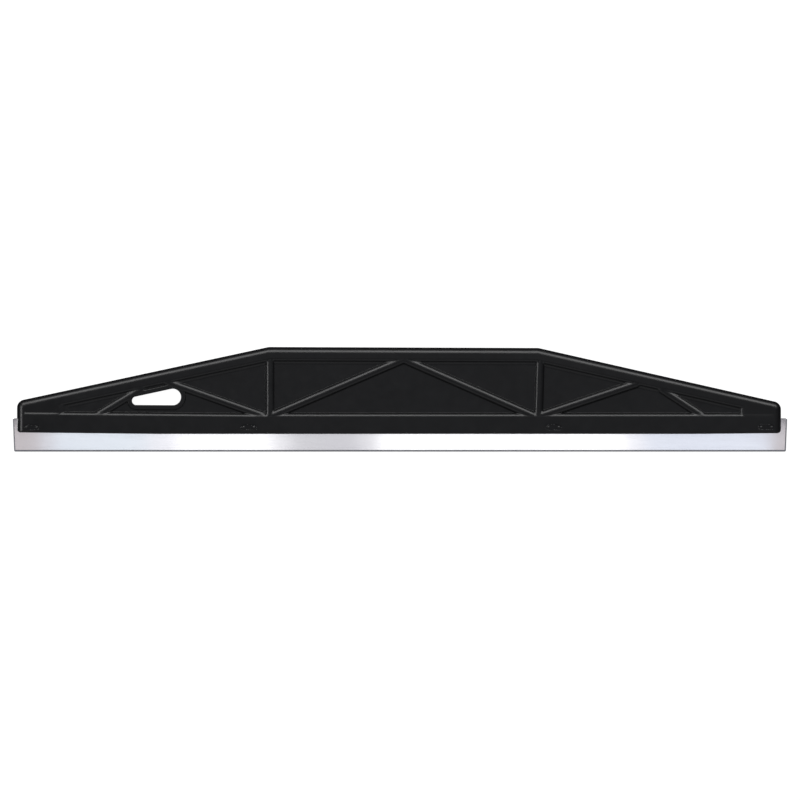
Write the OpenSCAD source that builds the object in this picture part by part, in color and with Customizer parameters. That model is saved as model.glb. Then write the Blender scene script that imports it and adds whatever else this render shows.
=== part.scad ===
// Long straight-edge trim guide: a thin steel blade held along the lower edge of a
// truss-ribbed moulded handle. The tool lies flat on its back face. +X runs along the
// blade, +Y from the blade's straight edge to the handle's crown, +Z out of the front face.
// Heights are measured from the blade's straight edge until each part is moved into the frame.

/* [Blade] */
// Length of the blade along its hidden top edge
blade_length = 609.6; // [606:0.1:614]
// Height of the blade, from its straight edge to the edge hidden in the handle
blade_height = 26.2; // [25:0.1:27]
// Thickness of the blade
blade_thickness = 0.5; // [0.3:0.05:0.8]
// How far each end leans inwards on its way down to the straight edge
end_slant = 1.1; // [0:0.1:2]
// Radius of the blade's four corners
blade_corner = 1; // [0.5:0.1:2]
// Height of the ground band along the straight edge
grind_height = 1.3; // [0.5:0.1:2]
// Thickness left at the straight edge
edge_thickness = 0.2; // [0.1:0.05:0.25]

/* [Handle outline] */
// Thickness of the handle
handle_thickness = 10; // [9:0.5:13]
// Distance from the middle of the blade to the handle's left end
left_end = 301.4; // [299:0.1:303]
// Distance from the middle of the blade to the handle's right end
right_end = 299.8; // [298:0.1:302]
// Distance from the middle of the blade to the left shoulder
left_shoulder = 103.3; // [95:0.1:110]
// Distance from the middle of the blade to the right shoulder
right_shoulder = 109; // [100:0.1:115]
// Height of the left shoulder, the highest point of the tool
crown_height = 82.36; // [78:0.01:86]
// How much lower the right shoulder is
crown_drop = 0.8; // [0:0.1:1.5]
// Height of the top edge's line at the left end
left_end_height = 39.7; // [38:0.1:42]
// Height of the top edge's line at the right end
right_end_height = 38.3; // [37:0.1:41]
// Height of the handle's lower edge above the blade's straight edge
lower_edge = 13.9; // [13:0.1:15]
// How far the lower edge eases up towards the left end
left_ease = 1.2; // [0:0.1:2]
// How far the lower edge eases up towards the right end
right_ease = 0.6; // [0:0.1:2]
// Radius of the top end corners, seen from the front
end_corner = 6.4; // [5.5:0.1:8]
// Radius of the lower end corners
lower_corner = 2.8; // [1.5:0.1:3.5]

/* [Handle relief] */
// Width of the rim, from the top edge to the foot of its inner step
rim_width = 12.2; // [10:0.1:13]
// Height of the top of the lower band, where the step down to the panel begins
band_top = 28.5; // [28:0.1:30]
// How much higher the top of the band is at the left end
band_rise = 1.4; // [0:0.1:2]
// How much lower it is under the left shoulder
band_dip = 0.4; // [0:0.1:0.8]
// Depth of the recessed panel below each face
recess = 2.4; // [1.5:0.1:3]
// Width of the sloping step between a face and the panel
step_width = 2.2; // [1:0.1:3]
// Left end of the recessed panel
panel_left = -270; // [-274:0.5:-262]
// Right end of the recessed panel
panel_right = 269; // [264:0.5:274]
// Width of a rib where it meets the panel
rib_foot = 7; // [5:0.1:9]

/* [Hang hole] */
// Distance from the middle of the blade to the middle of the hole's large end
hole_large_x = -178.8; // [-182:0.1:-176]
// Height of the middle of the hole's large end
hole_large_h = 43; // [42.5:0.1:43.5]
// Radius of the hole's large end
hole_large_r = 6.45; // [6:0.05:6.5]
// Distance from the middle of the blade to the middle of the hole's small end
hole_small_x = -207.6; // [-209:0.1:-204]
// Height of the middle of the hole's small end
hole_small_h = 40; // [39.5:0.1:40.5]
// Radius of the hole's small end
hole_small_r = 3.3; // [3:0.05:3.5]
// Width of the raised lip around the hole
hole_lip = 3.6; // [2:0.1:4]
// How far the lip stays below the faces
lip_drop = 1.2; // [0.6:0.1:1.8]

/* [Blade keys] */
// Distances from the middle of the blade to the four keys, from left to right
key_places = [-289.9, -119, 120.9, 288.3];
// Height of the middle of the keys
key_height = 19.2; // [18.5:0.1:20]
// Length of a key over its round ends
key_length = 12; // [9:0.1:13]
// Width of a key
key_width = 4; // [3:0.1:5]
// Clearance around a key and around the blade
clearance = 0.05; // [0.02:0.01:0.1]
// How far a key's two faces lie below the handle's faces
key_sink = 0.3; // [0.25:0.05:1.5]
// Height of the two catches on each face of a key
catch_height = 0.25; // [0.1:0.05:0.25]

/* [Hidden] */
$fn = 96;

middle = handle_thickness / 2;
lower_round = 1.6;
soft_corner = 8;
least_corner = 0.3;
corner_steps = 5;
roll_step = 22.5;
arc_step = 10;
through = 1;
ease_left_x = -190;
ease_right_x = 230;

// The straight lower edge is 0 high; the frame's origin is under the middle of the tool.
module in_frame() translate([0, -crown_height / 2, 0]) children();

function unit(v) = v / norm(v);
function turn_cos(p, a, b) = unit(a - p) * unit(b - p);
function tangent_length(p, a, b, r) =
    let (c = turn_cos(p, a, b)) r * sqrt((1 + c) / (1 - c));
function corner_centre(p, a, b, r) =
    p + (unit(a - p) + unit(b - p)) * tangent_length(p, a, b, r) / (1 + turn_cos(p, a, b));
function before(points, i) = points[(i + len(points) - 1) % len(points)];
function after(points, i) = points[(i + 1) % len(points)];

// A convex outline with a true arc at each corner.
module rounded_outline(points, radii) {
    polygon([for (i = [0:len(points) - 1])
        let (p = points[i], a = before(points, i), b = after(points, i),
             t = tangent_length(p, a, b, radii[i]))
        each [p + unit(a - p) * t, p + unit(b - p) * t]]);
    for (i = [0:len(points) - 1])
        translate(corner_centre(points[i], before(points, i), after(points, i), radii[i]))
            circle(radii[i]);
}

// The outline around two circles of different size, the larger one first.
module teardrop(p, rp, q, rq) {
    run = q - p;
    facing = atan2(run[1], run[0]);
    lean = acos((rp - rq) / norm(run));
    polygon(concat(
        arc_points(p, rp, facing + lean, facing + 360 - lean),
        arc_points(q, rq, facing - lean, facing + lean)));
}

function arc_points(centre, r, from, to) =
    let (steps = ceil((to - from) / arc_step))
    [for (k = [0:steps])
        let (a = from + (to - from) * k / steps) centre + r * [cos(a), sin(a)]];

// Corners of the handle's outline, anticlockwise from the left end of the lower edge.
outline = [
    [-left_end, lower_edge + left_ease],
    [ease_left_x, lower_edge],
    [ease_right_x, lower_edge],
    [right_end, lower_edge + right_ease],
    [right_end, right_end_height],
    [right_shoulder, crown_height - crown_drop],
    [-left_shoulder, crown_height],
    [-left_end, left_end_height]
];

corner_radii = [lower_corner, soft_corner, soft_corner, lower_corner,
                end_corner, soft_corner, soft_corner, end_corner];
lower_edges = 3;

// How far the section of an edge lies inside the outline at angle a of the rolled edge:
// the top and the ends are fully rolled, the lower edge has only a small round.
function roll_height(a) = middle + middle * sin(a);
function lower_inset(z) =
    let (d = max(0, lower_round - min(z, handle_thickness - z)))
    lower_round - sqrt(lower_round * lower_round - d * d);
function inset(i, a) = i % len(outline) < lower_edges
    ? lower_inset(roll_height(a)) : middle * (1 - cos(a));
function inward(p, q) = [-unit(q - p)[1], unit(q - p)[0]];

// The arc of corner i, where the two edges that meet there are inset by their own amounts.
function corner_arc(i, a) =
    let (p = outline[i],
         n1 = inward(before(outline, i), p),
         n2 = inward(p, after(outline, i)),
         d1 = inset(i + len(outline) - 1, a),
         d2 = inset(i, a),
         r = max(corner_radii[i] - max(d1, d2), least_corner),
         c = n1 * n2,
         centre = p + (n1 * (d1 + r - (d2 + r) * c) + n2 * (d2 + r - (d1 + r) * c)) / (1 - c * c),
         start = atan2(-n1[1], -n1[0]),
         turn = acos(c))
    [for (k = [0:corner_steps])
        concat(centre + r * [cos(start + turn * k / corner_steps),
                             sin(start + turn * k / corner_steps)], roll_height(a))];

// The handle before its panel is sunk.
module blank() {
    layers = [for (a = [-90:roll_step:90]) [for (i = [0:len(outline) - 1]) each corner_arc(i, a)]];
    n = len(layers[0]);
    last = len(layers) - 1;
    polyhedron(
        points = [for (l = layers) each l],
        faces = concat(
            [[for (k = [0:n - 1]) k]],
            [[for (k = [n - 1:-1:0]) last * n + k]],
            [for (j = [0:last - 1], k = [0:n - 1])
                [(j + 1) * n + k, (j + 1) * n + (k + 1) % n, j * n + (k + 1) % n, j * n + k]]));
}

// Height of the foot of the rim's inner step, below each of the two sloping top edges.
left_slope = atan2(crown_height - left_end_height, left_end - left_shoulder);
right_slope = atan2(crown_height - crown_drop - right_end_height, right_end - right_shoulder);
function left_rim(x) =
    left_end_height + (x + left_end) * tan(left_slope) - rim_width / cos(left_slope);
function right_rim(x) =
    right_end_height + (right_end - x) * tan(right_slope) - rim_width / cos(right_slope);

// Lines that bound the pockets of the panel. The band and the two walls are drawn where
// their steps begin at the face, the rim where its step ends at the panel.
band = [[-left_shoulder, band_top], [right_end, band_top]];
left_band = [[-left_end, band_top + band_rise], [-left_shoulder, band_top - band_dip]];
left_wall = [[panel_left, crown_height], [panel_left, 0]];
right_wall = [[panel_right, 0], [panel_right, crown_height]];
left_rim_line = [[-left_shoulder, left_rim(-left_shoulder)], [-left_end, left_rim(-left_end)]];
right_rim_line = [[right_end, right_rim(right_end)], [right_shoulder, right_rim(right_shoulder)]];
top_rim_line = [[right_shoulder, crown_height - crown_drop - rim_width],
                [-left_shoulder, crown_height - rim_width]];

// Middle lines of the eight ribs of the truss, from left to right, each from its foot.
ribs = [
    [[-238.2, 28.6], [-203.6, 49.3]],
    [[-108.6, 28.5], [-183.6, 54.9]],
    [[-102.5, 28.5], [-102.5, 71.4]],
    [[-100.3, 28.5], [3, 72.7]],
    [[104.3, 28.3], [2.9, 72.7]],
    [[109, 28.5], [110.2, 70.6]],
    [[111.2, 28.5], [185.8, 53.4]],
    [[237.7, 28.4], [206.1, 48.9]]
];
half_rib = rib_foot / 2;

// The point where two lines cross.
function meet(l, m) =
    let (u = l[1] - l[0], v = m[1] - m[0], w = m[0] - l[0])
    l[0] + u * (w[0] * v[1] - w[1] * v[0]) / (u[0] * v[1] - u[1] * v[0]);

// Each pocket's sides, anticlockwise, and how far the panel's floor stays inside each.
pocket_sides = [
    [[left_band, step_width], [ribs[0], half_rib], [left_rim_line, 0], [left_wall, step_width]],
    [[left_band, step_width], [ribs[1], half_rib], [left_rim_line, 0], [ribs[0], half_rib]],
    [[ribs[2], half_rib], [left_rim_line, 0], [ribs[1], half_rib]],
    [[ribs[3], half_rib], [top_rim_line, 0], [ribs[2], half_rib]],
    [[band, step_width], [ribs[4], half_rib], [ribs[3], half_rib]],
    [[ribs[5], half_rib], [top_rim_line, 0], [ribs[4], half_rib]],
    [[ribs[6], half_rib], [right_rim_line, 0], [ribs[5], half_rib]],
    [[band, step_width], [ribs[7], half_rib], [right_rim_line, 0], [ribs[6], half_rib]],
    [[band, step_width], [right_wall, step_width], [right_rim_line, 0], [ribs[7], half_rib]]
];

// Each pocket as a list of its corners, each with the inset of the side that follows it.
pockets = [for (sides = pocket_sides)
    [for (i = [0:len(sides) - 1]) [meet(before(sides, i)[0], sides[i][0]), sides[i][1]]]];

// A pocket's outline with each side moved in by its own amount less the given growth.
function pocket_outline(pocket, growth) = [for (i = [0:len(pocket) - 1])
    let (p = pocket[i][0],
         n1 = inward(before(pocket, i)[0], p),
         n2 = inward(p, after(pocket, i)[0]),
         d1 = before(pocket, i)[1] - growth,
         d2 = pocket[i][1] - growth,
         c = n1 * n2)
    p + (n1 * (d1 - d2 * c) + n2 * (d2 - d1 * c)) / (1 - c * c)];

// A pocket sunk into the front face, with sloping sides.
module sink(pocket) {
    n = len(pocket);
    above = recess + through;
    lower = pocket_outline(pocket, 0);
    upper = pocket_outline(pocket, step_width * above / recess);
    translate([0, 0, handle_thickness - recess])
        polyhedron(
            points = concat([for (p = lower) concat(p, 0)], [for (p = upper) concat(p, above)]),
            faces = concat([[for (k = [0:n - 1]) k]], [[for (k = [n - 1:-1:0]) n + k]],
                           [for (k = [0:n - 1]) [n + k, n + (k + 1) % n, (k + 1) % n, k]]));
}

module both_faces() {
    children();
    translate([0, 0, handle_thickness]) mirror([0, 0, 1]) children();
}

// Raised lip around the hang hole, on both faces.
module lip() {
    translate([0, 0, lip_drop])
        linear_extrude(handle_thickness - 2 * lip_drop)
            teardrop([hole_large_x, hole_large_h], hole_large_r + hole_lip,
                     [hole_small_x, hole_small_h], hole_small_r + hole_lip);
}

module hang_hole() {
    translate([0, 0, -through])
        linear_extrude(handle_thickness + 2 * through)
            teardrop([hole_large_x, hole_large_h], hole_large_r,
                     [hole_small_x, hole_small_h], hole_small_r);
}

module oblong(length, width) {
    half = (length - width) / 2;
    for (side = [-1, 1])
        translate([side * half, 0]) circle(width / 2);
    translate([-half, -width / 2]) square([2 * half, width]);
}

// Openings for the four keys, through whatever they are cut from.
module key_holes() {
    for (x = key_places)
        translate([x, key_height, -through])
            linear_extrude(handle_thickness + 2 * through)
                oblong(key_length + 2 * clearance, key_width + 2 * clearance);
}

module blade_slot() {
    gap = blade_thickness + 2 * clearance;
    translate([-blade_length / 2 - through, lower_edge - through, middle - gap / 2])
        cube([blade_length + 2 * through, blade_height + clearance - lower_edge + through, gap]);
}

module handle() {
    color("#1d1d20")
        in_frame()
            difference() {
                union() {
                    difference() {
                        blank();
                        both_faces()
                            for (p = pockets) sink(p);
                    }
                    lip();
                }
                hang_hole();
                key_holes();
                blade_slot();
            }
}

// Wedge that is ground away from one face along the straight edge.
module grind(side) {
    bite = (blade_thickness - edge_thickness) / 2;
    translate([-blade_length / 2 - through, 0, middle])
        rotate([90, 0, 90])
            linear_extrude(blade_length + 2 * through)
                polygon([[-through, side * (edge_thickness / 2 - bite * through / grind_height)],
                         [grind_height, side * blade_thickness / 2],
                         [-through, side * (blade_thickness / 2 + through)]]);
}

module blade() {
    top = blade_length / 2;
    color("#c9c6cc")
        in_frame()
            difference() {
                translate([0, 0, middle - blade_thickness / 2])
                    linear_extrude(blade_thickness)
                        rounded_outline([[end_slant - top, 0], [top - end_slant, 0],
                                         [top, blade_height], [-top, blade_height]],
                                        [for (i = [1:4]) blade_corner]);
                grind(1);
                grind(-1);
                key_holes();
            }
}

// A key passes through the handle's front wall, the blade and the back wall.
// Two low catches stand on each of its faces, one at each end.
module key(x) {
    body_height = handle_thickness - 2 * key_sink;
    catch_length = key_width * 0.6;
    catch_width = key_width * 0.55;
    color("#2a2a2d")
        in_frame()
            translate([x, key_height, key_sink]) {
                linear_extrude(body_height) oblong(key_length, key_width);
                for (side = [-1, 1])
                    translate([side * (key_length - key_width) / 2, 0, -catch_height])
                        linear_extrude(body_height + 2 * catch_height)
                            square([catch_length, catch_width], center = true);
            }
}

module left_end_key() { key(key_places[0]); }
module left_key() { key(key_places[1]); }
module right_key() { key(key_places[2]); }
module right_end_key() { key(key_places[3]); }

handle();
blade();
left_end_key();
left_key();
right_key();
right_end_key();
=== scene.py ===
"""A straight-edge trim guide: a steel blade in a truss-ribbed plastic handle.

Shapes are worked out in a drawing plane in millimetres: x along the blade and h, the height
above the blade's straight edge. Depths are measured from the handle's middle plane.
"""

import math

import bpy
import numpy as np
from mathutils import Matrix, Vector, geometry

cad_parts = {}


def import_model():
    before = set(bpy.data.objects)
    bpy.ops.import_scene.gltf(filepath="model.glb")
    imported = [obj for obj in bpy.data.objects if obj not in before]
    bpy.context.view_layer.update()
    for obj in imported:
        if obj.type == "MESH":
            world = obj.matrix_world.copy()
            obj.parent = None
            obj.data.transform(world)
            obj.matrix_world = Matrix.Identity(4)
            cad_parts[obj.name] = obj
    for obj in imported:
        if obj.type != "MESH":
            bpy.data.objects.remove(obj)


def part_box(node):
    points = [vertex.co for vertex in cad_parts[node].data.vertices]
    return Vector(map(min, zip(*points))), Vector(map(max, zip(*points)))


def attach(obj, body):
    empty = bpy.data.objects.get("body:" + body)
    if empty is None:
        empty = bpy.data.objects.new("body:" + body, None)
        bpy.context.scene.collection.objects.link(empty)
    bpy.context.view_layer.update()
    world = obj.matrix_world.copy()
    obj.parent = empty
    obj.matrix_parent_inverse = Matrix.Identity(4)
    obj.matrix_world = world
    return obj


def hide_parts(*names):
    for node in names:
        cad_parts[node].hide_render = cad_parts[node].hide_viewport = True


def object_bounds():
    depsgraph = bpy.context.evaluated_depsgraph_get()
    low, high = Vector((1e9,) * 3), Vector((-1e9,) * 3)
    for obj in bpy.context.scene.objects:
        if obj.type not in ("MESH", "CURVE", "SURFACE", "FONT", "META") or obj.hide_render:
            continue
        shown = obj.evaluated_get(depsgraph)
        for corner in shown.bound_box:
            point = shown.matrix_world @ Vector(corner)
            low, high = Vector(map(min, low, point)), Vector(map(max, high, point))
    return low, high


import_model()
cad_box = [list(corner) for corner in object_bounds()]

MM = 0.001
handle_low, handle_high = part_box("handle")
blade_low, blade_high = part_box("blade")
EDGE_Y = blade_low.y
MIDDLE_Z = (handle_low.z + handle_high.z) / 2
HALF = (handle_high.z - handle_low.z) / 2 / MM
LEFT = handle_low.x / MM
RIGHT = handle_high.x / MM
CROWN = (handle_high.y - EDGE_Y) / MM

# Outline of the handle, anticlockwise from the left end of the lower edge. Side i runs from
# corner i to the next one. The lower sides have a small round, the others are fully rolled.
OUTLINE = np.array([
    (LEFT, 15.1), (-190, 13.9), (230, 13.9), (RIGHT, 14.5),
    (RIGHT, 38.3), (109, CROWN - 0.8), (-103.3, CROWN), (LEFT, 39.7)])
CORNER_RADII = [2.8, 8, 8, 2.8, 6.4, 8, 8, 6.4]
CORNER_STEPS = [4, 1, 1, 4, 8, 4, 4, 8]
LOWER_SIDES = (0, 1, 2)
RIGHT_END, LEFT_END = 3, 7
TOP_SIDES = (4, 5, 6)
LOWER_ROUND = 1.6
LEAST_CORNER = 0.3
ROLL_TURNS = (12, 21, 30, 39, 48, 57, 66, 74, 82, 90)
POINT_GAP = 3.0
SAME_LEVEL, SAME_POINT = 1e-6, 1e-4

# The slot that holds the blade: its top edge, and half its width.
SLOT_TOP = 26.25
SLOT_HALF = 0.3

# A step is its depth and the radii of its upper and lower arcs. Its middle lies on the crease,
# at RIM_DROP below the top edge, or at an end of the panel. CREASE_RISE says how much higher
# than CREASE it runs at some x. A groove carries the crease on past both ends of the panel: it
# falls, then rises slowly, from these distances above the crease. Each FUSE is the reach of the
# fillets where steps and ribs meet.
RECESS = 2.4
FLOOR = HALF - RECESS
CREASE = 30.45
CREASE_RISE = [(LEFT, 1.4), (-106, -0.4), (-100, 0), (RIGHT, 0)]
CREASE_STEP = (RECESS, 3.5, 0.3)
RIM_DROP = 10.9
RIM_STEP = (RECESS, 3.6, 4.6)
PANEL_LEFT, PANEL_RIGHT = -264.5, 267.3
LEFT_STEP = (RECESS, 16.0, 14.0)
LEFT_TURN = 5
RIGHT_STEP = (RECESS, 6.0, 0.5)
LEFT_GROOVE, RIGHT_GROOVE = 0.42, 0.14
LEFT_FADE_START, LEFT_FADE = PANEL_LEFT + 4, 12
RIGHT_FADE = 4
FALL_START, FALL = -3.2, 2.0
RISE_START, RISE = -0.8, 8.0
FUSE, LEFT_FUSE, RIGHT_FUSE, LIP_FUSE = 1.0, 0.2, 0.4, 0.5

# Each rib: two points of its middle line, from the band to the rim, and its height.
RIBS = [
    ((-238.2, 28.6), (-203.6, 49.3), 1.95),
    ((-108.6, 28.5), (-183.6, 54.9), 1.95),
    ((-102.5, 28.5), (-102.5, 71.4), 2.35),
    ((-100.3, 28.5), (3.0, 72.7), 2.35),
    ((104.3, 28.3), (2.9, 72.7), 2.35),
    ((109.0, 28.5), (110.2, 70.6), 2.35),
    ((111.2, 28.5), (185.8, 53.4), 2.35),
    ((237.7, 28.4), (206.1, 48.9), 1.95),
]
RIB_CREST, RIB_FILLET = 3.9, 0.25

# Mesh lines beside a rib: how far they run past its two ends, and the gap between points.
# Such lines stay clear of the rolled edge and of the hang hole.
RIB_BEFORE, RIB_AFTER = 2.5, 3.0
RIB_GAP = 1.5
LINE_CLEAR = 0.8
# How far the lines along the handle stay inside its ends, and the places of the groove's lines
# and of the upright lines at the ends of the panel.
END_CLEAR = 7
RIM_CLEAR = 8
GROOVE_CLEAR = 3
GROOVE_LINES = (FALL_START, 1.5, 2.8, 4.2, 5.8)
END_LINE_LOW, END_LINE_HIGH, END_LINE_GAP = 26, 37, 1.0

# The hang hole is drawn around two circles. A lip stands around it.
HOLE_LARGE, HOLE_LARGE_R = (-178.8, 43.0), 6.45
HOLE_SMALL, HOLE_SMALL_R = (-207.6, 40.0), 3.3
HOLE_ROUND = 0.5
HOLE_TURNS = range(0, 91, 15)
LARGE_STEPS, SMALL_STEPS = 40, 20
LIP_DROP = 1.2
LIP_TOP = HALF - LIP_DROP
LIP_MIDDLE = 3.6
LIP_STEP = (LIP_TOP - FLOOR, 0.7, 0.6)
LIP_TURN = 12

# The keys, and the windows that they stand in.
KEY_PLACES = [-289.9, -119.0, 120.9, 288.3]
KEY_NODES = ["left_end_key", "left_key", "right_key", "right_end_key"]
KEY_H = 19.2
KEY_LENGTH, KEY_WIDTH = 12.0, 4.0
KEY_GAP = 0.004
WINDOW_ROUND = 0.06
WINDOW_TURNS = (0, 30, 60, 90)


def world(x, h, z):
    return (x * MM, h * MM + EDGE_Y, z * MM + MIDDLE_Z)


# ---------------------------------------------------------------- shape functions

def drop(s, depth, high, low):
    """How far a smooth step of two arcs has dropped at distance s past its middle."""
    lean = math.acos(1 - depth / (high + low))
    start, end = -high * math.sin(lean), low * math.sin(lean)
    s = np.clip(s, start, end)
    first = high - np.sqrt(np.maximum(high ** 2 - (s - start) ** 2, 0))
    second = depth - low + np.sqrt(np.maximum(low ** 2 - (end - s) ** 2, 0))
    return np.where(s < 0, first, second)


def step_offsets(depth, high, low, turn=9):
    """Distances across such a step between which its slope turns by about turn degrees."""
    lean = math.acos(1 - depth / (high + low))
    n = max(2, round(math.degrees(lean) / turn))
    angles = [lean * k / n for k in range(n + 1)]
    return sorted([-high * math.sin(lean) + high * math.sin(a) for a in angles]
                  + [low * math.sin(lean) - low * math.sin(a) for a in angles[:-1]])


def rounded(distance, top, radius):
    """Height near an edge that is rounded over, at a distance inside the edge."""
    d = np.clip(distance, 0, radius)
    return top - radius + np.sqrt(np.maximum(radius ** 2 - (radius - d) ** 2, 0))


def fused(a, b, reach):
    """The higher of two heights, with a fillet where they cross between floor and face."""
    part = np.clip((np.minimum(a, b) - FLOOR) / RECESS, 0, 1)
    k = reach * 4 * part * (1 - part) + 1e-6
    return np.maximum(a, b) + np.maximum(k - np.abs(a - b), 0) ** 2 / (4 * k)


def inward(i, outline=OUTLINE):
    """Direction into the outline from its side i."""
    p, q = outline[i], outline[(i + 1) % len(outline)]
    u = (q - p) / np.linalg.norm(q - p)
    return np.array((-u[1], u[0]))


def below_top(x, h):
    """Distance below the handle's top edge, which has three straight parts."""
    return np.min([side_distance(i, x, h) for i in TOP_SIDES], axis=0)


def side_distance(i, x, h):
    n = inward(i)
    return n[0] * (x - OUTLINE[i][0]) + n[1] * (h - OUTLINE[i][1])


def hole_distance(x, h):
    """Distance outside the hang hole, an outline around two circles."""
    base = np.array(HOLE_LARGE)
    along = np.array(HOLE_SMALL) - base
    length = np.linalg.norm(along)
    along = along / length
    y = (x - base[0]) * along[0] + (h - base[1]) * along[1]
    s = np.abs(-(x - base[0]) * along[1] + (h - base[1]) * along[0])
    b = (HOLE_LARGE_R - HOLE_SMALL_R) / length
    a = math.sqrt(1 - b * b)
    k = -b * s + a * y
    near_large = np.hypot(s, y) - HOLE_LARGE_R
    near_small = np.hypot(s, y - length) - HOLE_SMALL_R
    return np.where(k < 0, near_large, np.where(k > a * length, near_small,
                                                a * s + b * y - HOLE_LARGE_R))


def oblong_distance(x, h, middle, length, width):
    """Distance outside an oblong with round ends."""
    reach = (length - width) / 2
    along = np.maximum(np.abs(x - middle) - reach, 0)
    return np.hypot(along, h - KEY_H) - width / 2


def window_distance(x, h):
    return np.min([oblong_distance(x, h, m, KEY_LENGTH + 2 * KEY_GAP, KEY_WIDTH + 2 * KEY_GAP)
                   for m in KEY_PLACES], axis=0)


def rib_height(x, h, start, end, height):
    p = np.array(start)
    u = np.array(end) - p
    u = u / np.linalg.norm(u)
    across = np.abs(-u[1] * (x - p[0]) + u[0] * (h - p[1]))
    along = (x - p[0]) * u[0] + (h - p[1]) * u[1]
    past = np.maximum(np.maximum(-along, along - np.linalg.norm(np.array(end) - p)), 0)
    across = np.hypot(across, past)
    lean = math.acos(1 - height / (RIB_CREST + RIB_FILLET))
    return FLOOR + height - drop(across - RIB_CREST * math.sin(lean),
                                 height, RIB_CREST, RIB_FILLET)


def crease(x):
    return CREASE + np.interp(x, *zip(*CREASE_RISE))


def groove(x, h):
    """Shallow step that carries the crease on past both ends of the panel."""
    past_left = np.clip((LEFT_FADE_START - x) / LEFT_FADE, 0, 1)
    past_right = np.clip((x - PANEL_RIGHT) / RIGHT_FADE, 0, 1)
    depth = LEFT_GROOVE * past_left + RIGHT_GROOVE * past_right
    s = h - crease(x)
    falling = np.clip((s - FALL_START) / FALL, 0, 1)
    rising = np.clip((s - RISE_START) / RISE, 0, 1)
    rising = rising * rising * (3 - 2 * rising)
    return depth * falling ** 2 * (1 - rising)


def relief(x, h):
    """Height of the handle's front above its middle plane, inside the rolled edges."""
    level = HALF - drop(h - crease(x), *CREASE_STEP)
    level = fused(level, HALF - drop(below_top(x, h) - RIM_DROP, *RIM_STEP), FUSE)
    level = fused(level, HALF - drop(x - PANEL_LEFT, *LEFT_STEP), LEFT_FUSE)
    level = fused(level, HALF - drop(PANEL_RIGHT - x, *RIGHT_STEP), RIGHT_FUSE)
    e = hole_distance(x, h)
    level = fused(level, LIP_TOP - drop(e - LIP_MIDDLE, *LIP_STEP), LIP_FUSE)
    for start, end, height in RIBS:
        level = fused(level, rib_height(x, h, start, end, height), FUSE)
    level = np.minimum(np.maximum(level, FLOOR), HALF - groove(x, h))
    level = np.minimum(level, np.where(e < HOLE_ROUND, rounded(e, LIP_TOP, HOLE_ROUND), HALF))
    w = window_distance(x, h)
    return np.minimum(level, np.where(w < WINDOW_ROUND, rounded(w, HALF, WINDOW_ROUND), HALF))


# ---------------------------------------------------------------- mesh building

def slopes(height, x, h, eps=0.02):
    """Upward normals of a height function."""
    gx = (height(x + eps, h) - height(x - eps, h)) / (2 * eps)
    gh = (height(x, h + eps) - height(x, h - eps)) / (2 * eps)
    n = np.stack([-gx, -gh, np.ones_like(gx)], axis=1)
    return n / np.linalg.norm(n, axis=1)[:, None]


def spaced(p, q, gap=POINT_GAP):
    """Points from p to q, both included."""
    n = max(1, math.ceil(math.dist(p, q) / gap))
    return [(p[0] + (q[0] - p[0]) * k / n, p[1] + (q[1] - p[1]) * k / n) for k in range(n + 1)]


def arc(centre, radius, start, end, steps):
    return [(centre[0] + radius * math.cos(start + (end - start) * k / steps),
             centre[1] + radius * math.sin(start + (end - start) * k / steps))
            for k in range(steps + 1)]


def hole_loop(grow):
    """The hang hole's outline, grown, anticlockwise."""
    p, q = np.array(HOLE_LARGE), np.array(HOLE_SMALL)
    facing = math.atan2(q[1] - p[1], q[0] - p[0])
    lean = math.acos((HOLE_LARGE_R - HOLE_SMALL_R) / math.dist(p, q))
    large = arc(p, HOLE_LARGE_R + grow, facing + lean, facing + 2 * math.pi - lean,
                LARGE_STEPS)
    small = arc(q, HOLE_SMALL_R + grow, facing - lean, facing + lean, SMALL_STEPS)
    return (large + spaced(large[-1], small[0])[1:-1]
            + small + spaced(small[-1], large[0])[1:-1])


def oblong_loop(middle, length, width, steps=10):
    """An oblong with round ends, anticlockwise."""
    reach = (length - width) / 2
    right = arc((middle + reach, KEY_H), width / 2, -math.pi / 2, math.pi / 2, steps)
    left = arc((middle - reach, KEY_H), width / 2, math.pi / 2, 1.5 * math.pi, steps)
    return (right + spaced(right[-1], left[0])[1:-1] + left + spaced(left[-1], right[0])[1:-1])


def within(loop, places):
    """Which of the places lie inside a closed loop."""
    odd = np.zeros(len(places), bool)
    for p, q in zip(loop, np.roll(loop, -1, axis=0)):
        crosses = (p[1] > places[:, 1]) != (q[1] > places[:, 1])
        rise = q[1] - p[1] if q[1] != p[1] else 1.0
        at = p[0] + (q[0] - p[0]) * (places[:, 1] - p[1]) / rise
        odd ^= crosses & (places[:, 0] < at)
    return odd


def parallel(start, end, offset, before=0.0, after=0.0):
    """A line beside start-end, with points along it."""
    p, q = np.array(start), np.array(end)
    u = (q - p) / np.linalg.norm(q - p)
    side = np.array((-u[1], u[0])) * offset
    return spaced(p - u * before + side, q + u * after + side, RIB_GAP)


def clear(line):
    """The parts of a line that stay off the rolled edge and off the hang hole."""
    x, h = np.array(line).T
    free = (hole_distance(x, h) > LINE_CLEAR) & (below_top(x, h) > HALF + LINE_CLEAR)
    parts, part = [], []
    for point, kept in zip(line + line[:1], list(free) + [False]):
        if kept:
            part.append(point)
        elif part:
            parts.append(part)
            part = []
    return [part for part in parts if len(part) > 1]


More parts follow.
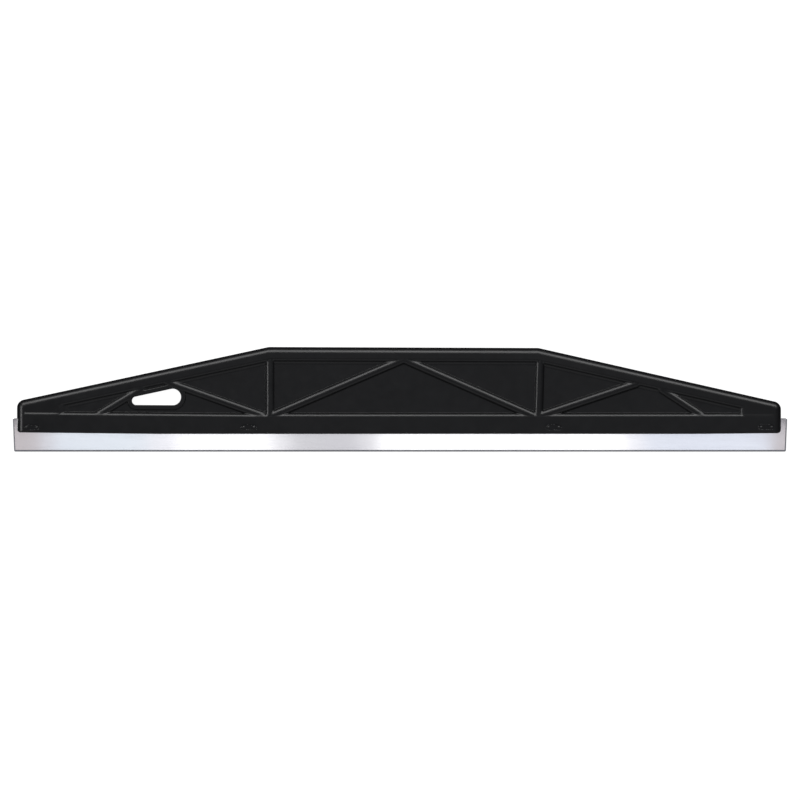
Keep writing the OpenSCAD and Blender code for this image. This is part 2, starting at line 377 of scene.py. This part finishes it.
class Half:
    """The front half of a solid that is the same on both sides of its middle plane."""

    def __init__(self):
        self.points = []
        self.faces = []
        self.normals = []

    def add(self, plane, z):
        first = len(self.points)
        z = np.broadcast_to(np.asarray(z, float), (len(plane),))
        self.points += [(p[0], p[1], level) for p, level in zip(plane, z)]
        return list(range(first, len(self.points)))

    def face(self, corners, normals):
        self.faces.append(tuple(corners))
        self.normals.append([tuple(n) for n in normals])

    def flat_normal(self, corners):
        a, b, c = (Vector(self.points[i]) for i in corners[:3])
        return tuple((b - a).cross(c - a).normalized())

    def strip(self, low, high, low_normals=None, high_normals=None, turned=False, keep=None):
        """Faces between two closed rows of points. Turned ones face into the loop.

        keep says which of them are made.
        """
        n = len(low)
        for k in range(n):
            j = (k + 1) % n
            if keep is not None and not keep(k, j):
                continue
            corners = [low[k], low[j], high[j], high[k]]
            if low_normals is None:
                self.face(corners, [self.flat_normal(corners)] * 4)
                continue
            normals = [low_normals[k], low_normals[j], high_normals[j], high_normals[k]]
            if turned:
                corners.reverse()
                normals.reverse()
            self.face(corners, normals)

    def surface(self, loops, lines, height, known, facing_down=False):
        """Triangles inside the first loop and outside the others, on a height function.

        known gives the points that a loop already has here.
        """
        points, edges, spans = [], [], []
        for path in loops + lines:
            first, n = len(points), len(path)
            points += [Vector((p[0], p[1])) for p in path]
            edges += [(first + k, first + k + 1) for k in range(n - 1)]
            if len(spans) < len(loops):
                edges.append((first + n - 1, first))
            spans.append(range(first, first + n))
        made, _, triangles, sources, _, _ = geometry.delaunay_2d_cdt(points, edges, [], 1, SAME_POINT)
        plane = np.array([tuple(v) for v in made])
        place = {s: i for i, group in enumerate(sources) for s in group}
        index = [None] * len(plane)
        for loop, rows in known.items():
            for s, own in zip(spans[loop], rows):
                index[place[s]] = own
        normals = slopes(height, plane[:, 0], plane[:, 1])
        if facing_down:
            normals = -normals
        levels = height(plane[:, 0], plane[:, 1])
        for i in range(len(plane)):
            if index[i] is None:
                index[i] = len(self.points)
                self.points.append((plane[i, 0], plane[i, 1], float(levels[i])))
        corners = np.array(triangles)
        centres = plane[corners].mean(axis=1)
        a, b, c = (plane[corners[:, k]] for k in range(3))
        area = ((b[:, 0] - a[:, 0]) * (c[:, 1] - a[:, 1])
                - (b[:, 1] - a[:, 1]) * (c[:, 0] - a[:, 0]))
        corners[area < 0] = corners[area < 0][:, ::-1]
        hollow = np.zeros(len(corners), bool)
        for span in spans[1:len(loops)]:
            hollow |= within(plane[[place[s] for s in span]], centres)
        for tri in corners[~hollow]:
            tri = tri[::-1] if facing_down else tri
            own = [index[i] for i in tri]
            if len(set(own)) == 3:
                self.face(own, [normals[i] for i in tri])
        return {loop: [index[place[s]] for s in spans[loop]] for loop in range(len(loops))}

    def mesh(self, name):
        """The whole solid, with its own shading normals."""
        points = list(self.points)
        twin = []
        for i, (x, h, z) in enumerate(self.points):
            if abs(z) < SAME_LEVEL:
                twin.append(i)
            else:
                twin.append(len(points))
                points.append((x, h, -z))
        faces = self.faces + [tuple(twin[i] for i in reversed(f)) for f in self.faces]
        normals = [n for face in self.normals for n in face]
        normals += [(n[0], n[1], -n[2]) for face in self.normals for n in reversed(face)]
        used = sorted({i for f in faces for i in f})
        order = {i: k for k, i in enumerate(used)}
        mesh = bpy.data.meshes.new(name)
        mesh.from_pydata([world(*points[i]) for i in used], [],
                         [tuple(order[i] for i in f) for f in faces])
        mesh.polygons.foreach_set("use_smooth", [True] * len(mesh.polygons))
        mesh.normals_split_custom_set(normals)
        return mesh


def piece(name, mesh, node, material):
    made = bpy.data.objects.new(name, mesh)
    bpy.context.scene.collection.objects.link(made)
    mesh.materials.append(material)
    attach(made, "root")
    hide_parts(node)
    return made


# ---------------------------------------------------------------- handle

def corner_arcs(outline, radii, steps, inset):
    """Each corner's arc, with sides moved in: its points, facings and share of the turn."""
    arcs = []
    for i in range(len(outline)):
        n1, n2 = inward(i - 1, outline), inward(i, outline)
        d1, d2 = inset[i - 1], inset[i]
        r = max(radii[i] - max(d1, d2), LEAST_CORNER)
        c = n1 @ n2
        centre = outline[i] + (n1 * (d1 + r - (d2 + r) * c)
                               + n2 * (d2 + r - (d1 + r) * c)) / (1 - c * c)
        start, turn = math.atan2(-n1[1], -n1[0]), math.acos(c)
        arcs.append([(centre + r * np.array((math.cos(t), math.sin(t))), t, k / steps[i])
                     for k in range(steps[i] + 1) for t in [start + turn * k / steps[i]]])
    return arcs


def lower_lean(level):
    return math.asin(min(1, max(0, level - (HALF - LOWER_ROUND)) / LOWER_ROUND))


def handle_ring(angle):
    """The outline where the rolled edge has turned by angle: points and their normals."""
    level = HALF * math.sin(angle)
    lean = lower_lean(level)
    sides = len(OUTLINE)
    inset = [LOWER_ROUND * (1 - math.cos(lean)) if i in LOWER_SIDES
             else HALF * (1 - math.cos(angle)) for i in range(sides)]
    leans = [lean if i in LOWER_SIDES else angle for i in range(sides)]
    arcs = [[(point, t, leans[i - 1] + (leans[i] - leans[i - 1]) * part) for point, t, part in arc]
            for i, arc in enumerate(corner_arcs(OUTLINE, CORNER_RADII, CORNER_STEPS, inset))]
    rows = []
    for i in range(sides):
        rows += arcs[i]
        p, q = arcs[i][-1][0], arcs[(i + 1) % sides][0][0]
        facing = math.atan2(-inward(i)[1], -inward(i)[0])
        if i in (RIGHT_END, LEFT_END):
            stop = np.array((p[0], SLOT_TOP))
            between = side_points(p, stop, 3)[1:] + side_points(stop, q, 2)[1:-1]
        else:
            count = math.ceil(np.linalg.norm(OUTLINE[(i + 1) % sides] - OUTLINE[i]) / POINT_GAP)
            between = side_points(p, q, count)[1:-1]
        rows += [(point, facing, leans[i]) for point in between]
    plane = [tuple(row[0]) for row in rows]
    normals = [(math.cos(t) * math.cos(l), math.sin(t) * math.cos(l), math.sin(l))
               for _, t, l in rows]
    return plane, normals, level


def side_points(p, q, n):
    return [p + (q - p) * k / n for k in range(n + 1)]


def rim_lines():
    """Lines along the rim's inner step, parallel to the three parts of the top edge."""
    lines = []
    for offset in step_offsets(*RIM_STEP):
        t = RIM_DROP + offset
        corners = []
        for i in (5, 6):
            n1, n2 = inward(i - 1), inward(i)
            c = n1 @ n2
            corners.append(OUTLINE[i] + (n1 + n2) * t / (1 + c))
        first = OUTLINE[4] + inward(4) * t
        last = OUTLINE[7] + inward(6) * t
        u1 = (corners[0] - first) / np.linalg.norm(corners[0] - first)
        u2 = (corners[1] - last) / np.linalg.norm(corners[1] - last)
        first = first + u1 * (RIM_CLEAR + (first[0] - RIGHT))
        last = last + u2 * (RIM_CLEAR + (LEFT - last[0]))
        lines += [spaced(first, corners[0]), spaced(corners[0], corners[1]),
                  spaced(corners[1], last)]
    return lines


def along_crease(offset, stop):
    """Lines beside the crease, from the left end to x = stop."""
    xs = [LEFT + END_CLEAR] + [x for x, _ in CREASE_RISE[1:-1] if x < stop] + [stop]
    ends = [(x, float(crease(x)) + offset) for x in xs]
    return [part for p, q in zip(ends, ends[1:]) for part in clear(spaced(p, q))]


def feature_lines():
    lines = rim_lines()
    for offset in step_offsets(*CREASE_STEP):
        lines += along_crease(offset, RIGHT - END_CLEAR)
    for offset in GROOVE_LINES:
        lines += along_crease(offset, PANEL_LEFT - GROOVE_CLEAR)
    ends = [PANEL_LEFT + s for s in step_offsets(*LEFT_STEP, turn=LEFT_TURN)]
    ends += [PANEL_RIGHT - s for s in step_offsets(*RIGHT_STEP)]
    for x in ends:
        lines.append(spaced((x, END_LINE_LOW), (x, END_LINE_HIGH), END_LINE_GAP))
    for start, end, height in RIBS:
        lean = math.acos(1 - height / (RIB_CREST + RIB_FILLET))
        middle = RIB_CREST * math.sin(lean)
        offsets = [middle + s for s in step_offsets(height, RIB_CREST, RIB_FILLET)]
        for offset in [0] + offsets[1:] + [-s for s in offsets[1:]]:
            lines += clear(parallel(start, end, offset, RIB_BEFORE, RIB_AFTER))
    return lines


def make_handle():
    half = Half()
    angles = [0, math.asin(SLOT_HALF / HALF)] + [math.radians(a) for a in ROLL_TURNS]
    rings = []
    for angle in angles:
        plane, normals, level = handle_ring(angle)
        rings.append((half.add(plane, level), plane, normals))
    in_slot = [p[1] <= SLOT_TOP + SAME_LEVEL for p in rings[0][1]]
    for j in range(len(rings) - 1):
        keep = (lambda k, m: not (in_slot[k] and in_slot[m])) if j == 0 else None
        half.strip(rings[j][0], rings[j + 1][0], rings[j][2], rings[j + 1][2], keep=keep)

    hole = [hole_loop(HOLE_ROUND * (1 - math.cos(math.radians(a)))) for a in HOLE_TURNS]
    lip = [hole_loop(LIP_MIDDLE + s) for s in step_offsets(*LIP_STEP, turn=LIP_TURN)]
    windows, window_rounds = [], []
    for x in KEY_PLACES:
        for a in WINDOW_TURNS:
            grow = KEY_GAP + WINDOW_ROUND * (1 - math.cos(math.radians(a)))
            loop = oblong_loop(x, KEY_LENGTH + 2 * grow, KEY_WIDTH + 2 * grow)
            (windows if a == 0 else window_rounds).append(loop)
    loops = [rings[-1][1], hole[0]] + windows
    closed = [loop + loop[:1] for loop in hole[1:] + lip + window_rounds]

    made = half.surface(loops, feature_lines() + closed, relief, {0: rings[-1][0]})

    walls = wall_normals(hole_distance, hole[0])
    half.strip(half.add(hole[0], 0), made[1], walls, walls, turned=True)

    below = []
    for k, loop in enumerate(windows):
        walls = wall_normals(window_distance, loop)
        below.append(half.add(loop, SLOT_HALF))
        half.strip(below[-1], made[2 + k], walls, walls, turned=True)

    slot_rows = [k for k, inside in enumerate(in_slot) if inside]
    turn = next(n for n, k in enumerate(slot_rows) if k - slot_rows[n - 1] > 1 and n)
    slot_rows = slot_rows[turn:] + slot_rows[:turn]
    slot_loop = [rings[1][1][k] for k in slot_rows]
    known = {0: [rings[1][0][k] for k in slot_rows]}
    known.update({1 + k: rows for k, rows in enumerate(below)})
    half.surface([slot_loop] + windows, [], lambda x, h: np.full_like(x, SLOT_HALF), known,
                 facing_down=True)
    first, last = slot_rows[0], slot_rows[-1]
    half.face([rings[0][0][first], rings[0][0][last], rings[1][0][last], rings[1][0][first]],
              [(0, -1, 0)] * 4)
    return half.mesh("trim_guide_handle")


def wall_normals(distance, loop):
    """Level normals of the wall of an opening, facing into it."""
    plane = np.array(loop)
    gap = slopes(distance, plane[:, 0], plane[:, 1])[:, :2]
    return [tuple(n) + (0.0,) for n in gap / np.linalg.norm(gap, axis=1)[:, None]]


# ---------------------------------------------------------------- blade and keys

BLADE_END = blade_high.x / MM
BLADE_TOP = (blade_high.y - EDGE_Y) / MM
BLADE_HALF = 0.25
BLADE_CORNER, BLADE_CORNER_STEPS = 1, 6
END_SLANT = 1.1
GRIND = 1.3
END_GRIND = 1.0
TOP_GRIND = 0.1
THIN_HALF = 0.1


def make_blade():
    """The blade, thinned towards its four sides, with a window for each key."""
    outline = np.array([(END_SLANT - BLADE_END, 0), (BLADE_END - END_SLANT, 0),
                        (BLADE_END, BLADE_TOP), (-BLADE_END, BLADE_TOP)])
    half = Half()
    rings = []
    for level, inset in ((0, [0] * 4), (THIN_HALF, [0] * 4),
                         (BLADE_HALF, [GRIND, END_GRIND, TOP_GRIND, END_GRIND])):
        arcs = corner_arcs(outline, [BLADE_CORNER] * 4, [BLADE_CORNER_STEPS] * 4, inset)
        plane = [tuple(row[0]) for corner in arcs for row in corner]
        rings.append((half.add(plane, level), plane))
    for low, high in zip(rings, rings[1:]):
        half.strip(low[0], high[0])
    windows = [oblong_loop(x, KEY_LENGTH + 2 * KEY_GAP, KEY_WIDTH + 2 * KEY_GAP)
               for x in KEY_PLACES]
    made = half.surface([rings[-1][1]] + windows, [], lambda x, h: np.full_like(x, BLADE_HALF),
                        {0: rings[-1][0]})
    for k, loop in enumerate(windows):
        walls = wall_normals(window_distance, loop)
        half.strip(half.add(loop, 0), made[1 + k], walls, walls, turned=True)
    return half.mesh("steel_blade")


KEY_SINK = 0.3
KEY_HALF = HALF - KEY_SINK
KEY_ROUND = 0.08
KEY_TURNS = (None, 0, 30, 60, 90)
CATCH_PLACES = (-4.1, 4.1)
CATCH_RADIUS = 0.9
CATCH_HEIGHT = 0.25
CATCH_RINGS = np.linspace(0.2, 1, 6) * CATCH_RADIUS
CATCH_STEPS = 20


def make_key(name, middle):
    """A key, with two round catches on each face. Its rings run from the middle plane to there."""
    def height(x, h):
        level = np.full_like(x, KEY_HALF)
        for place in CATCH_PLACES:
            r = np.hypot(x - middle - place, h - KEY_H) / CATCH_RADIUS
            level = level + CATCH_HEIGHT * np.clip(1 - r * r, 0, 1) ** 1.5
        return level

    half = Half()
    rings = []
    for a in KEY_TURNS:
        turn = math.radians(a or 0)
        grow = -KEY_ROUND * (1 - math.cos(turn))
        level = 0 if a is None else KEY_HALF - KEY_ROUND * (1 - math.sin(turn))
        loop = oblong_loop(middle, KEY_LENGTH + 2 * grow, KEY_WIDTH + 2 * grow)
        out = wall_normals(window_distance, loop)
        normals = [(-n[0] * math.cos(turn), -n[1] * math.cos(turn), math.sin(turn)) for n in out]
        rings.append((half.add(loop, level), loop, normals))
    for low, high in zip(rings, rings[1:]):
        half.strip(low[0], high[0], low[2], high[2])
    lines = []
    for place in CATCH_PLACES:
        for r in CATCH_RINGS:
            lines.append(arc((middle + place, KEY_H), r, 0, 2 * math.pi, CATCH_STEPS))
    half.surface([rings[-1][1]], lines, height, {0: rings[-1][0]})
    return half.mesh(name)


# ---------------------------------------------------------------- materials

# The parts of a noise pattern's range that are used.
SPREAD_FROM, SPREAD_TO = 0.3, 0.7
TINT_FROM, TINT_TO = 0.35, 0.65


def nodes_of(material):
    material.use_nodes = True
    tree = material.node_tree
    return tree, tree.nodes["Principled BSDF"]


def noise(tree, scale, detail, stretch=(1, 1, 1)):
    """A noise pattern fixed to the object, with scale in waves per metre."""
    coords = tree.nodes.new("ShaderNodeTexCoord")
    mapping = tree.nodes.new("ShaderNodeMapping")
    mapping.inputs["Scale"].default_value = stretch
    made = tree.nodes.new("ShaderNodeTexNoise")
    made.inputs["Scale"].default_value = scale
    made.inputs["Detail"].default_value = detail
    tree.links.new(coords.outputs["Object"], mapping.inputs["Vector"])
    tree.links.new(mapping.outputs["Vector"], made.inputs["Vector"])
    return made.outputs["Fac"]


def spread(tree, value, low, high):
    """A noise value stretched from its usual range to low-high."""
    made = tree.nodes.new("ShaderNodeMapRange")
    made.inputs["From Min"].default_value = SPREAD_FROM
    made.inputs["From Max"].default_value = SPREAD_TO
    made.inputs["To Min"].default_value = low
    made.inputs["To Max"].default_value = high
    tree.links.new(value, made.inputs["Value"])
    return made.outputs["Result"]


def tinted(tree, value, low, high):
    """A colour between low and high, by a noise value."""
    made = tree.nodes.new("ShaderNodeValToRGB")
    made.color_ramp.elements[0].position = TINT_FROM
    made.color_ramp.elements[1].position = TINT_TO
    made.color_ramp.elements[0].color = (*low, 1)
    made.color_ramp.elements[1].color = (*high, 1)
    tree.links.new(value, made.inputs["Fac"])
    return made.outputs["Color"]


def bumped(tree, value, depth, strength, below=None):
    made = tree.nodes.new("ShaderNodeBump")
    made.inputs["Distance"].default_value = depth
    made.inputs["Strength"].default_value = strength
    tree.links.new(value, made.inputs["Height"])
    if below is not None:
        tree.links.new(below, made.inputs["Normal"])
    return made.outputs["Normal"]


def plastic(name, low, high, roughness, grain, specular):
    """Moulded plastic: a fine eroded grain, with slow changes of shade and of gloss."""
    material = bpy.data.materials.new(name)
    tree, shader = nodes_of(material)
    link = tree.links.new
    link(tinted(tree, noise(tree, 60, 4), low, high), shader.inputs["Base Color"])
    link(spread(tree, noise(tree, 140, 5), roughness[0], roughness[1]), shader.inputs["Roughness"])
    fine = bumped(tree, noise(tree, 3200, 2), grain, 0.5)
    link(bumped(tree, noise(tree, 700, 3), grain * 1.5, 0.4, fine), shader.inputs["Normal"])
    shader.inputs["Specular IOR Level"].default_value = specular
    return material


def steel(name):
    """Fine-brushed stainless steel: scratches along the blade, and slow changes of polish."""
    material = bpy.data.materials.new(name)
    tree, shader = nodes_of(material)
    link = tree.links.new
    shade = tinted(tree, noise(tree, 9, 3, (1, 3, 1)), (0.74, 0.735, 0.755), (0.80, 0.795, 0.80))
    link(shade, shader.inputs["Base Color"])
    shader.inputs["Metallic"].default_value = 1
    scratches = noise(tree, 1, 4, (60, 5200, 5200))
    link(spread(tree, scratches, 0.13, 0.21), shader.inputs["Roughness"])
    link(bumped(tree, scratches, 0.000004, 0.35), shader.inputs["Normal"])
    return material


handle_plastic = plastic("handle_plastic", (0.0031, 0.0031, 0.0034), (0.0039, 0.0039, 0.0043),
                         (0.29, 0.35), 0.000010, 0.35)
key_plastic = plastic("key_plastic", (0.0045, 0.0045, 0.0048), (0.0060, 0.0060, 0.0064),
                      (0.24, 0.29), 0.000006, 0.4)
blade_steel = steel("blade_steel")

handle = piece("handle_moulding", make_handle(), "handle", handle_plastic)
blade = piece("steel_blade", make_blade(), "blade", blade_steel)
for node, x in zip(KEY_NODES, KEY_PLACES):
    piece(node + "_moulding", make_key(node + "_moulding", x), node, key_plastic)


# ---------------------------------------------------------------- floor, lights, camera

def floor_material():
    material = bpy.data.materials.new("white_sweep")
    tree, shader = nodes_of(material)
    shade = tinted(tree, noise(tree, 3, 2), (0.10, 0.10, 0.10), (0.12, 0.12, 0.12))
    tree.links.new(shade, shader.inputs["Base Color"])
    shader.inputs["Roughness"].default_value = 0.9
    shader.inputs["Emission Color"].default_value = (1, 1, 1, 1)
    shader.inputs["Emission Strength"].default_value = 0.98
    return material


FLOOR_REACH = 6.0
floor_corners = [(x * FLOOR_REACH, y * FLOOR_REACH, 0)
                 for x, y in ((-1, -1), (1, -1), (1, 1), (-1, 1))]
floor_mesh = bpy.data.meshes.new("floor")
floor_mesh.from_pydata(floor_corners, [], [(0, 1, 2, 3)])
floor_mesh.materials.append(floor_material())
floor = bpy.data.objects.new("floor", floor_mesh)
bpy.context.scene.collection.objects.link(floor)
floor.visible_glossy = False


def area_light(name, place, target, size_x, size_y, radiance, colour=(1, 1, 1)):
    """A rectangular softbox, hidden from the camera, with the brightness of its face."""
    data = bpy.data.lights.new(name, "AREA")
    data.shape = "RECTANGLE"
    data.size, data.size_y = size_x, size_y
    data.energy = radiance * math.pi * size_x * size_y
    data.color = colour
    light = bpy.data.objects.new(name, data)
    bpy.context.scene.collection.objects.link(light)
    light.location = place
    facing = Vector(target) - Vector(place)
    light.rotation_mode = "QUATERNION"
    light.rotation_quaternion = facing.to_track_quat("-Z", "Y")
    light.visible_camera = False
    return light


def only(name, lit):
    """A collection that holds the one object that a light is linked to."""
    made = bpy.data.collections.new(name)
    made.objects.link(lit)
    return made


blade_only = only("blade_only", blade)
handle_only = only("handle_only", handle)

area_light("back_softbox", (0.1, 0.56, 0.58), (0.1, 0, 0), 1.7, 0.40, 5.3)
area_light("left_softbox", (-0.75, 0.06, 0.55), (0, 0, 0), 0.20, 0.30, 9.0)
area_light("front_fill", (0, -0.60, 0.50), (0, 0, 0), 1.6, 0.5, 0.45)
overhead = area_light("overhead_panel", (0.17, 0, 0.9), (0.17, 0, 0), 0.78, 0.5, 0.13,
                      (0.95, 0.97, 1))
overhead.light_linking.receiver_collection = handle_only

# Cards above the blade, from left to right: their ends, brightness and tint.
CARD_Z = 0.14
CARD_SHIFT = 0.007
CARD_Y = blade_low.y + CARD_SHIFT
CARD_DEPTH = 0.030
CARDS = [
    (-0.330, -0.284, 0.62, (1.0, 0.91, 0.90)),
    (-0.284, -0.272, 0.84, (0.95, 0.95, 1.0)),
    (-0.272, -0.198, 1.07, (0.87, 0.935, 1.0)),
    (-0.198, -0.178, 1.14, (0.96, 0.96, 1.0)),
    (-0.178, -0.100, 1.45, (1, 1, 1)),
    (-0.100, -0.086, 1.02, (0.99, 0.98, 1.0)),
    (-0.086, -0.034, 0.74, (0.98, 0.97, 1.0)),
    (-0.034, -0.018, 0.92, (0.99, 0.98, 1.0)),
    (-0.018, 0.178, 1.45, (1, 1, 1)),
    (0.178, 0.192, 1.14, (0.95, 0.95, 1.0)),
    (0.192, 0.292, 1.07, (0.855, 0.90, 1.0)),
    (0.292, 0.330, 0.60, (1.0, 0.91, 0.92)),
]
for n, (x0, x1, radiance, colour) in enumerate(CARDS):
    x = (x0 + x1) / 2
    card = area_light("card_%d" % n, (x, CARD_Y, CARD_Z), (x, CARD_Y, 0),
                      x1 - x0, CARD_DEPTH, radiance, colour)
    card.light_linking.receiver_collection = blade_only

# Surroundings: grey that brightens upwards, and plain white for the camera.
DARK_RISE, BRIGHT_RISE = -0.05, 0.4
DARK, BRIGHT = (0.040, 0.040, 0.042), (0.155, 0.160, 0.176)


def make_surroundings():
    studio = bpy.data.worlds.new("studio")
    studio.use_nodes = True
    tree = studio.node_tree
    background = tree.nodes["Background"]
    coords = tree.nodes.new("ShaderNodeTexCoord")
    split = tree.nodes.new("ShaderNodeSeparateXYZ")
    rise = tree.nodes.new("ShaderNodeMapRange")
    rise.inputs["From Min"].default_value = DARK_RISE
    rise.inputs["From Max"].default_value = BRIGHT_RISE
    shade = tree.nodes.new("ShaderNodeValToRGB")
    shade.color_ramp.elements[0].color = (*DARK, 1)
    shade.color_ramp.elements[1].color = (*BRIGHT, 1)
    path = tree.nodes.new("ShaderNodeLightPath")
    choose = tree.nodes.new("ShaderNodeMixRGB")
    choose.inputs["Color2"].default_value = (1, 1, 1, 1)
    link = tree.links.new
    link(coords.outputs["Generated"], split.inputs["Vector"])
    link(split.outputs["Z"], rise.inputs["Value"])
    link(rise.outputs["Result"], shade.inputs["Fac"])
    link(path.outputs["Is Camera Ray"], choose.inputs["Fac"])
    link(shade.outputs["Color"], choose.inputs["Color1"])
    link(choose.outputs["Color"], background.inputs["Color"])
    return studio


bpy.context.scene.world = make_surroundings()

cad_low, cad_high = (Vector(corner) for corner in cad_box)
VIEW_WIDTH = 0.6296
VIEW_RISE = -0.00057
CAMERA_Z = 1.5
CLIP_START, CLIP_END = 0.01, 10
camera_data = bpy.data.cameras.new("camera")
camera_data.type = "ORTHO"
camera_data.ortho_scale = VIEW_WIDTH
camera_data.clip_start, camera_data.clip_end = CLIP_START, CLIP_END
camera = bpy.data.objects.new("camera", camera_data)
bpy.context.scene.collection.objects.link(camera)
camera.location = ((cad_low.x + cad_high.x) / 2, (cad_low.y + cad_high.y) / 2 + VIEW_RISE,
                   CAMERA_Z)
bpy.context.scene.camera = camera
bpy.context.scene.view_settings.view_transform = "Standard"
